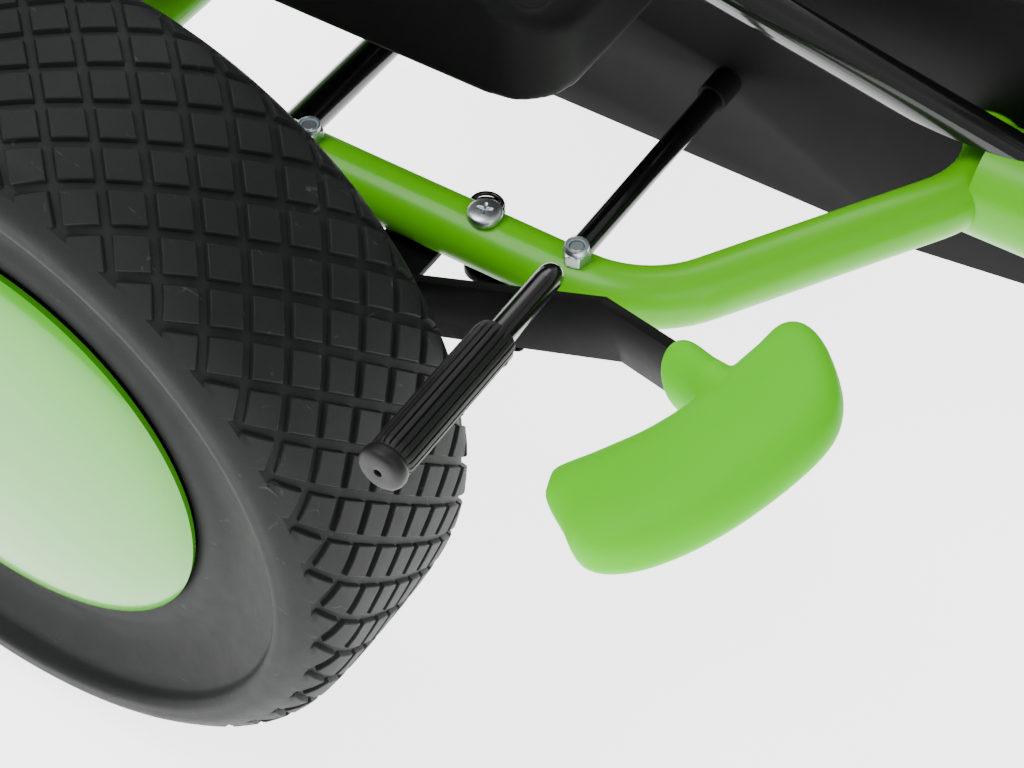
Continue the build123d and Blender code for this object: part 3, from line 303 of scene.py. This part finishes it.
def tread_polygons():
    """Flat (angle, across) polygons of the whole tread, cut along the profile's rows."""
    span = np.hypot(*np.diff(TREAD_LINE, axis=0).T)
    across = np.concatenate([[0], np.cumsum(span)])
    middle = np.interp(TREAD_MIDDLE, TREAD_LINE[:, 0], across)
    across = across - middle + TREAD_MIDDLE
    step = TAU / GROOVES_ROUND
    marks = [0, EDGE[1], EDGE[2], EDGE[3], 0.5, 1 - EDGE[3], 1 - EDGE[2], 1 - EDGE[1]]
    reach = int(math.ceil((across[-1] - across[0]) / DIAMOND_ACROSS)) + 1
    rows = list(across[::2])
    if rows[-1] != across[-1]:
        rows.append(across[-1])
    polygons = []
    cuts = [n + m for n in range(-reach, GROOVES_ROUND + reach) for m in marks]
    for a0, a1 in zip(cuts, cuts[1:]):
        for b0, b1 in zip(cuts, cuts[1:]):
            mid = (a0 + a1 + b0 + b1) / 4
            if not -1e-6 <= mid < GROOVES_ROUND - 1e-6:
                continue
            quad = [((a + b) / 2 * step, CROSSING_ACROSS + (a - b) / 2 * DIAMOND_ACROSS)
                    for a, b in ((a0, b0), (a1, b0), (a1, b1), (a0, b1))]
            low = min(p[1] for p in quad)
            high = max(p[1] for p in quad)
            if high <= rows[0] or low >= rows[-1]:
                continue
            for r0, r1 in zip(rows, rows[1:]):
                if r1 <= low or r0 >= high:
                    continue
                part = keep_side(keep_side(quad, r0, 1), r1, -1)
                if len(part) > 2:
                    polygons.append(part)
    return polygons, across


def keep_side(polygon, level, sign):
    """The part of a flat polygon on one side of an across level."""
    out = []
    for p, q in zip(polygon, polygon[1:] + polygon[:1]):
        dp, dq = sign * (p[1] - level), sign * (q[1] - level)
        if dp >= 0:
            out.append(p)
        if (dp > 0) != (dq > 0) and dp != dq and dp * dq < 0:
            t = dp / (dp - dq)
            out.append((p[0] + t * (q[0] - p[0]), level))
    return out


def block_height(angle, across):
    """0 on a groove's floor, 1 on a block, from the distance to the two groove families."""
    round_share = angle / (TAU / GROOVES_ROUND)
    across_share = (across - CROSSING_ACROSS) / DIAMOND_ACROSS
    height = np.ones_like(angle)
    for value in (round_share + across_share, round_share - across_share):
        near = np.abs(value - np.round(value))
        height = np.minimum(height, np.interp(near, EDGE, RISE))
    return height


def unit_tread():
    """Tread vertices as (depth from the face, radius, angle) for the rear tyre, and faces."""
    polygons, across = tread_polygons()
    flat = np.array([p for polygon in polygons for p in polygon])
    keys = np.round(np.column_stack([np.mod(flat[:, 0], TAU) * 2e5, flat[:, 1] * 2e3])).astype(np.int64)
    keys[:, 0] %= int(round(TAU * 2e5))
    _, first, inverse = np.unique(keys, axis=0, return_index=True, return_inverse=True)
    inverse = inverse.reshape(-1)
    flat = flat[first]
    depth = np.interp(flat[:, 1], across, TREAD_LINE[:, 0])
    radius = np.interp(flat[:, 1], across, TREAD_LINE[:, 1])
    slope = np.gradient(TREAD_LINE, axis=0)
    slope /= np.hypot(*slope.T)[:, None]
    out_t = np.interp(flat[:, 1], across, -slope[:, 1])
    out_r = np.interp(flat[:, 1], across, slope[:, 0])
    edge_low = np.interp(4.3, TREAD_LINE[:40, 0], across[:40])
    edge_high = np.interp(103.3, TREAD_LINE[-40:, 0], across[-40:])
    fade = np.interp(flat[:, 1], [edge_low, edge_low + 2.4, edge_high - 2.4, edge_high], [0, 1, 1, 0])
    sink = GROOVE_DEPTH * (1 - block_height(*flat.T)) * fade
    shape = np.column_stack([depth - out_t * sink, radius - out_r * sink, flat[:, 0] + CROSSING_ANGLE])
    faces, at = [], 0
    for polygon in polygons:
        face = []
        for index in inverse[at:at + len(polygon)]:
            if not face or index != face[-1]:
                face.append(int(index))
        if len(face) > 2 and face[0] == face[-1]:
            face.pop()
        if len(set(face)) > 2 and len(set(face)) == len(face):
            faces.append(face)
        at += len(polygon)
    return shape, faces


UNIT_TREAD = unit_tread()


def turned(profile, side, centre, scale_r, scale_t, segments, flip):
    """A profile of (depth from the face, radius) turned round the wheel's axle."""
    verts = []
    for t, r in profile:
        for k in range(segments):
            a = TAU * k / segments
            verts.append(wheel_point(t * scale_t, r * scale_r, a, side, centre))
    return verts, grid_faces(len(profile), segments, flip=flip)


def wheel_point(t, r, angle, side, centre):
    """Point of a wheel from its depth behind the outer face, radius and angle.

    centre is the middle of the wheel's outer face ring.
    """
    return Vector((centre.x - side * t * MM, centre.y - r * MM * math.cos(angle),
                   centre.z + r * MM * math.sin(angle)))


def tyre(tag, side, face_x, ahead, radius, width, body):
    """One foam tyre, scaled from the rear tyre's profile.  side -1 is the right of the kart."""
    centre = spot(side * face_x, ahead, radius)
    scale_r = radius / REAR_RADIUS
    scale_t = width / REAR_WIDTH
    shape, faces = UNIT_TREAD
    tread = [wheel_point(t * scale_t, r * scale_r, a, side, centre) for t, r, a in shape]
    tread_faces = [f[::-1] if side > 0 else f for f in faces]
    outer = turned(OUTER_WALL, side, centre, scale_r, scale_t, 264, side > 0)
    inner = turned(INNER_WALL, side, centre, scale_r, scale_t, 176, side < 0)
    verts, all_faces = joined([(tread, tread_faces), outer, inner])
    return piece("foam_tyre_" + tag, verts, all_faces, FOAM, body, "foam_tyre", ["tyre_" + tag],
                 sharp=32)


REAR = (REAR_FACE_X, 0, REAR_RADIUS, REAR_WIDTH)
FRONT = (FRONT_FACE_X, FRONT_AHEAD, FRONT_RADIUS, FRONT_WIDTH)
tyre("rear_right", -1, *REAR, "rear_axle")
tyre("rear_left", 1, *REAR, "rear_axle")
tyre("front_right", -1, *FRONT, "wheel_front_right")
tyre("front_left", 1, *FRONT, "wheel_front_left")


# ---------------------------------------------------------------- rubber sleeve of the brake
RIBS = 20
RIB_DEPTH = 0.85                 # mm
PAD_AHEAD = 187.0
PAD_Z = 263.0


def sleeve():
    """Ribbed sleeve on the brake rod, with its round end cap and the moulding hole."""
    centre = spot(0, PAD_AHEAD, PAD_Z)
    # distance out from the kart's middle, radius, and how far the ribs stand out there
    stations = [(217.3, 5.0, 0), (217.1, 6.6, 0), (217.6, 7.6, 0), (219.0, 8.0, 0.25),
                (220.5, 8.25, 0.8),
                (222, 8.35, 1), (250, 8.4, 1), (278, 8.4, 1), (280.6, 8.2, 1), (281.2, 7.7, 0.2),
                (281.9, 7.5, 0), (282.5, 7.9, 0), (283.2, 8.6, 0), (284.4, 8.95, 0), (286.2, 8.9, 0),
                (287.4, 8.4, 0), (288.2, 7.5, 0), (288.6, 6.0, 0), (288.75, 3.4, 0), (288.6, 1.6, 0),
                (287.8, 1.35, 0), (285.5, 1.3, 0), (285.4, 0.05, 0)]
    per_rib = [0.0, 0.0, 0.75, 1.0, 1.0, 1.0, 1.0, 1.0, 0.75]
    cols = RIBS * len(per_rib)
    edges = [0.0, 0.07, 0.13, 0.2, 0.35, 0.5, 0.65, 0.83, 0.93]
    verts = []
    for x, r, rib in stations:
        for k in range(cols):
            share = edges[k % len(per_rib)]
            a = TAU * (k // len(per_rib) + share) / RIBS
            radius = r - RIB_DEPTH * rib * (1 - per_rib[k % len(per_rib)])
            verts.append((-x * MM, centre.y + radius * MM * math.cos(a),
                          centre.z + radius * MM * math.sin(a)))
    return piece("brake_rubber", verts, grid_faces(len(stations), cols, flip=False), RIB_RUBBER,
                 "brake_shaft", "rubber_black", ["brake_sleeve"], sharp=40)


sleeve()


# ---------------------------------------------------------------- lock nuts and bolt ends
def nut_shape(flats, height, bore, place):
    """Hexagon nut with chamfered corners and a rolled collar round its nylon ring."""
    body = 0.68 * height
    cols = 120
    rows = [(bore, 0.0), (flats * 0.46, 0.0), (flats * 0.5, 0.0), (None, 0.0), (None, 0.35), (None, 0.8),
            (None, body / 2), (None, body - 0.8), (None, body - 0.35), (None, body),
            (flats * 0.475, body), (flats * 0.468, body + 0.1), (flats * 0.465, height - 0.7),
            (flats * 0.455, height - 0.25), (flats * 0.43, height), (flats * 0.40, height),
            (flats * 0.385, height - 0.2), (flats * 0.375, height - 0.5)]
    verts = []
    for r, z in rows:
        for k in range(cols):
            a = TAU * k / cols
            if r is None:
                local = (a + math.pi / 6) % (math.pi / 3) - math.pi / 6
                corner = flats / 2 / math.cos(local)
                end = min(z, body - z)
                radius = min(corner, flats / 2 * 1.005 + end * 1.75)
            else:
                radius = r
            verts.append(place @ Vector((radius * MM * math.cos(a), radius * MM * math.sin(a), z * MM)))
    return verts, grid_faces(len(rows), cols)


def ring_shape(rows, place, cols=64):
    """Rows of (radius, height) turned round the z axis of a place."""
    verts = []
    for r, z in rows:
        for k in range(cols):
            a = TAU * k / cols
            verts.append(place @ Vector((r * MM * math.cos(a), r * MM * math.sin(a), z * MM)))
    return verts, grid_faces(len(rows), cols)


RAIL_X = 135.0
RAIL_TOP = 220.4
SADDLE_BOTTOM = 191.8
SCREW_AHEAD = 128.0
SHANK_END = 185.5
NUT_FLATS = 10.0
BOLT_R = 3.0
# x, ahead and turn in degrees of the nuts on the rails
NUT_SPOTS = [
    (-RAIL_X, -46, 25), (-RAIL_X, 46, 25), (RAIL_X, -46, 25), (RAIL_X, 46, 25), (-RAIL_X, 169, 12),
]
nut_parts, ring_parts = [], []
for x, ahead, turn in NUT_SPOTS:
    seat = Matrix.Translation(spot(x, ahead, RAIL_TOP - 0.4))
    seat = seat @ Matrix.Rotation(math.radians(turn), 4, "Z")
    nut_parts.append(nut_shape(NUT_FLATS, 7.9, BOLT_R, seat))
    ring_parts.append(ring_shape([(3.85, 7.25), (3.1, 7.1), (3.0, 6.6)], seat))
piece("rail_lock_nuts", *joined(nut_parts), ZINC, "frame", "zinc", ["lock_nuts"], sharp=38)
piece("rail_nut_rings", *joined(ring_parts), NYLON_RING, "frame", "bush_white")


def pan_head():
    """Low domed screw head with a worn, shallow cross recess, and its nut under the saddle."""
    on_rail = Matrix.Translation(spot(-RAIL_X, SCREW_AHEAD, RAIL_TOP))
    place = on_rail @ Matrix.Rotation(math.radians(20), 4, "Z")
    cols, verts = 144, []
    rows = [(6.2, 0.1), (6.75, 0.25), (6.95, 0.7), (6.95, 2.5), (6.8, 3.1), (6.3, 3.6), (5.6, 3.95),
            (4.8, 4.2), (4.0, 4.36), (3.2, 4.48), (2.6, 4.54), (2.0, 4.58), (1.5, 4.6), (1.0, 4.61),
            (0.6, 4.62), (0.02, 4.62)]
    for r, z in rows:
        for k in range(cols):
            a = TAU * k / cols
            x, y = r * math.cos(a), r * math.sin(a)
            slot_near = min(max(abs(x) - 0.7, abs(y) - 2.9), max(abs(y) - 0.7, abs(x) - 2.9))
            dip = 0.8 * min(1.0, max(0.0, -slot_near / 0.6)) if r < 4.2 else 0.0
            verts.append(place @ Vector((x * MM, y * MM, (z - dip) * MM)))
    head = (verts, grid_faces(len(rows), cols))
    shank = ring_shape([(BOLT_R, SHANK_END - RAIL_TOP), (BOLT_R, 1.4)], on_rail, 48)
    low = Matrix.Translation(spot(-RAIL_X, SCREW_AHEAD, SADDLE_BOTTOM))
    low = low @ Matrix.Rotation(math.pi, 4, "X")
    verts, faces = joined([head, nut_shape(NUT_FLATS, 5, BOLT_R, low), shank])
    return piece("rail_pan_screw", verts, faces, ZINC, "frame", "zinc", ["saddle_screw"], sharp=38)


pan_head()

# ---------------------------------------------------------------- T-shaped hand grip
PITCH = math.radians(22.7)
TURN = math.radians(23.7)
BAR_FORWARD = Vector((0, -math.cos(PITCH), math.sin(PITCH)))
BAR_UP = Vector((0, math.sin(PITCH), math.cos(PITCH)))
BAR_OUT = BAR_FORWARD * math.cos(TURN) + Vector((-math.sin(TURN), 0, 0))
BAR_SIDE = Vector((math.cos(TURN), 0, 0)) + BAR_FORWARD * math.sin(TURN)
BAR_PIVOT = spot(-169, 80, 180.8)
BAR_BEND_AT = 136 * MM            # along the bar from its pivot
NECK_AT = 46 * MM                 # along the outer part from the bend
NECK_POINT = BAR_PIVOT + BAR_FORWARD * BAR_BEND_AT + BAR_OUT * NECK_AT
GRIP_OUTLINE = [
    (-62, -9), (-45, -15), (-27, -20), (-9, -21), (16, -19), (34, -15), (40, -22), (36, -38),
    (24, -59), (8, -70), (-20, -74), (-46, -72), (-66, -64), (-77, -50), (-73, -32), (-68, -14),
]
NECK_HALF = (9.6, 15.6)           # half thickness and half width of the neck, mm
GRIP_SPINE = [(-52, -40), (-36, -46), (-15, -47), (4, -43), (20, -32)]


def grip_point(x, y, z):
    """Point from millimetres inboard, back along the bar and up from the bar's flat side."""
    return NECK_POINT + (BAR_SIDE * x - BAR_OUT * y + BAR_UP * z) * MM


def hand_grip():
    """Moulded grip: an oval bar along its spine, with the neck that takes the flat bar."""
    closed = GRIP_OUTLINE[-2:] + GRIP_OUTLINE + GRIP_OUTLINE[:2]
    fine = smooth_line(closed, 8)[16:-17]
    spine = smooth_line(GRIP_SPINE, 12)
    rows, half, full = 25, 13.6, 2.5
    verts = []
    for i in range(rows):
        phase = -math.pi / 2 + math.pi * i / (rows - 1)
        rise = math.copysign(abs(math.sin(phase)) ** (2 / full), phase)
        share = max(math.cos(phase), 0.0) ** (2 / full)
        for x, y in fine:
            near = spine[np.argmin(np.hypot(spine[:, 0] - x, spine[:, 1] - y))]
            verts.append(grip_point(near[0] + (x - near[0]) * share, near[1] + (y - near[1]) * share,
                                    rise * half))
    body = (verts, grid_faces(rows, len(fine)))
    # distance out from the neck's mouth and share of its full section
    neck_rows = [(-0.5, 0.05), (-0.5, 0.9), (0.6, 0.985), (2.5, 1.0), (9, 0.97), (14, 0.95),
                 (22, 0.98), (34, 0.7), (34, 0.05)]
    neck = []
    cols = 64
    for y, scale in neck_rows:
        for k in range(cols):
            a = TAU * k / cols
            neck.append(grip_point(NECK_HALF[0] * scale * math.cos(a), -y,
                                   NECK_HALF[1] * scale * math.sin(a)))
    verts, faces = joined([body, (neck, grid_faces(len(neck_rows), cols, flip=True))])
    grip = piece("hand_grip", verts, faces, GRIP_GREEN, "brake_lever", "grip_green", ["lever_grip"])
    modify(grip, "WELD", merge_threshold=0.00005)
    modify(grip, "REMESH", mode="VOXEL", voxel_size=0.0009, use_smooth_shade=True)
    modify(grip, "SMOOTH", factor=0.6, iterations=7)
    return grip


hand_grip()

# ---------------------------------------------------------------- softened CAD shapes
for name, passes in (("seat", 5), ("steering_wheel", 12)):
    modify(NODES[name], "REMESH", mode="VOXEL", voxel_size=0.0026, use_smooth_shade=True)
    modify(NODES[name], "SMOOTH", factor=0.6, iterations=passes)
BEVELLED = (
    "brake_lever", "lever_bracket", "brake_saddle", "axle_bracket_right", "axle_bracket_left",
    "seat_frame", "brake_link", "knuckle_right", "knuckle_left", "pedal_right", "pedal_left",
    "front_shield", "chain_guard", "guard_cover", "front_frame",
)
for name in BEVELLED:
    modify(NODES[name], "WELD", merge_threshold=0.00002)
    modify(NODES[name], "BEVEL", width=0.0006, segments=2, limit_method="ANGLE",
           angle_limit=math.radians(40), harden_normals=False)
for node in NODES.values():
    node.data.shade_smooth()
    node.data.set_sharp_from_angle(angle=math.radians(32))

# ---------------------------------------------------------------- floor, light, camera
FLOOR_HALF = 9
FLOOR_GAP = 0.0005                # the floor lies this far under the tyres
floor_mesh = bpy.data.meshes.new("studio_floor")
corners = [(-FLOOR_HALF, -FLOOR_HALF, 0), (FLOOR_HALF, -FLOOR_HALF, 0),
           (FLOOR_HALF, FLOOR_HALF, 0), (-FLOOR_HALF, FLOOR_HALF, 0)]
floor_mesh.from_pydata(corners, [], [(0, 1, 2, 3)])
floor = bpy.data.objects.new("studio_floor", floor_mesh)
bpy.context.scene.collection.objects.link(floor)
floor.location.z = -FLOOR_GAP
PALE = surface("pale_floor", (0.86, 0.86, 0.86), 0.75, tint=(0.84, 0.84, 0.84), patch=2, glow=3.2)
dress(floor, PALE)

world = bpy.data.worlds.new("studio")
bpy.context.scene.world = world
world.use_nodes = True
world.node_tree.nodes["Background"].inputs["Color"].default_value = (1, 1, 1, 1)
world.node_tree.nodes["Background"].inputs["Strength"].default_value = 0.68


def area_light(name, at, target, size, watts):
    light = bpy.data.lights.new(name, "AREA")
    light.shape = "RECTANGLE"
    light.size, light.size_y = size
    light.energy = watts
    obj = bpy.data.objects.new(name, light)
    bpy.context.scene.collection.objects.link(obj)
    obj.location = at
    obj.rotation_euler = (Vector(target) - Vector(at)).to_track_quat("-Z", "Y").to_euler()
    return obj


LOOK_AT = (-0.15, 0.2, 0.2)
area_light("key_light", (-0.7, 1.0, 2.3), LOOK_AT, (1.3, 1.3), 46)
area_light("fill_light", (-1.0, -1.6, 1.8), LOOK_AT, (1.6, 1.6), 18)
area_light("back_light", (1.6, 0.9, 1.8), LOOK_AT, (1.4, 1.4), 18)

# close view of the brake from above the right side
CAMERA_AT = (-0.6856, -0.1687, 0.8730)
CAMERA_LOOKS = (0.557, 0.357, -0.750)
CAMERA_LENS = 85.49
camera_data = bpy.data.cameras.new("camera")
camera_data.sensor_width = 36.0
camera_data.lens = CAMERA_LENS
camera = bpy.data.objects.new("camera", camera_data)
bpy.context.scene.collection.objects.link(camera)
camera.location = CAMERA_AT
camera.rotation_euler = Vector(CAMERA_LOOKS).to_track_quat("-Z", "Y").to_euler()
bpy.context.scene.camera = camera
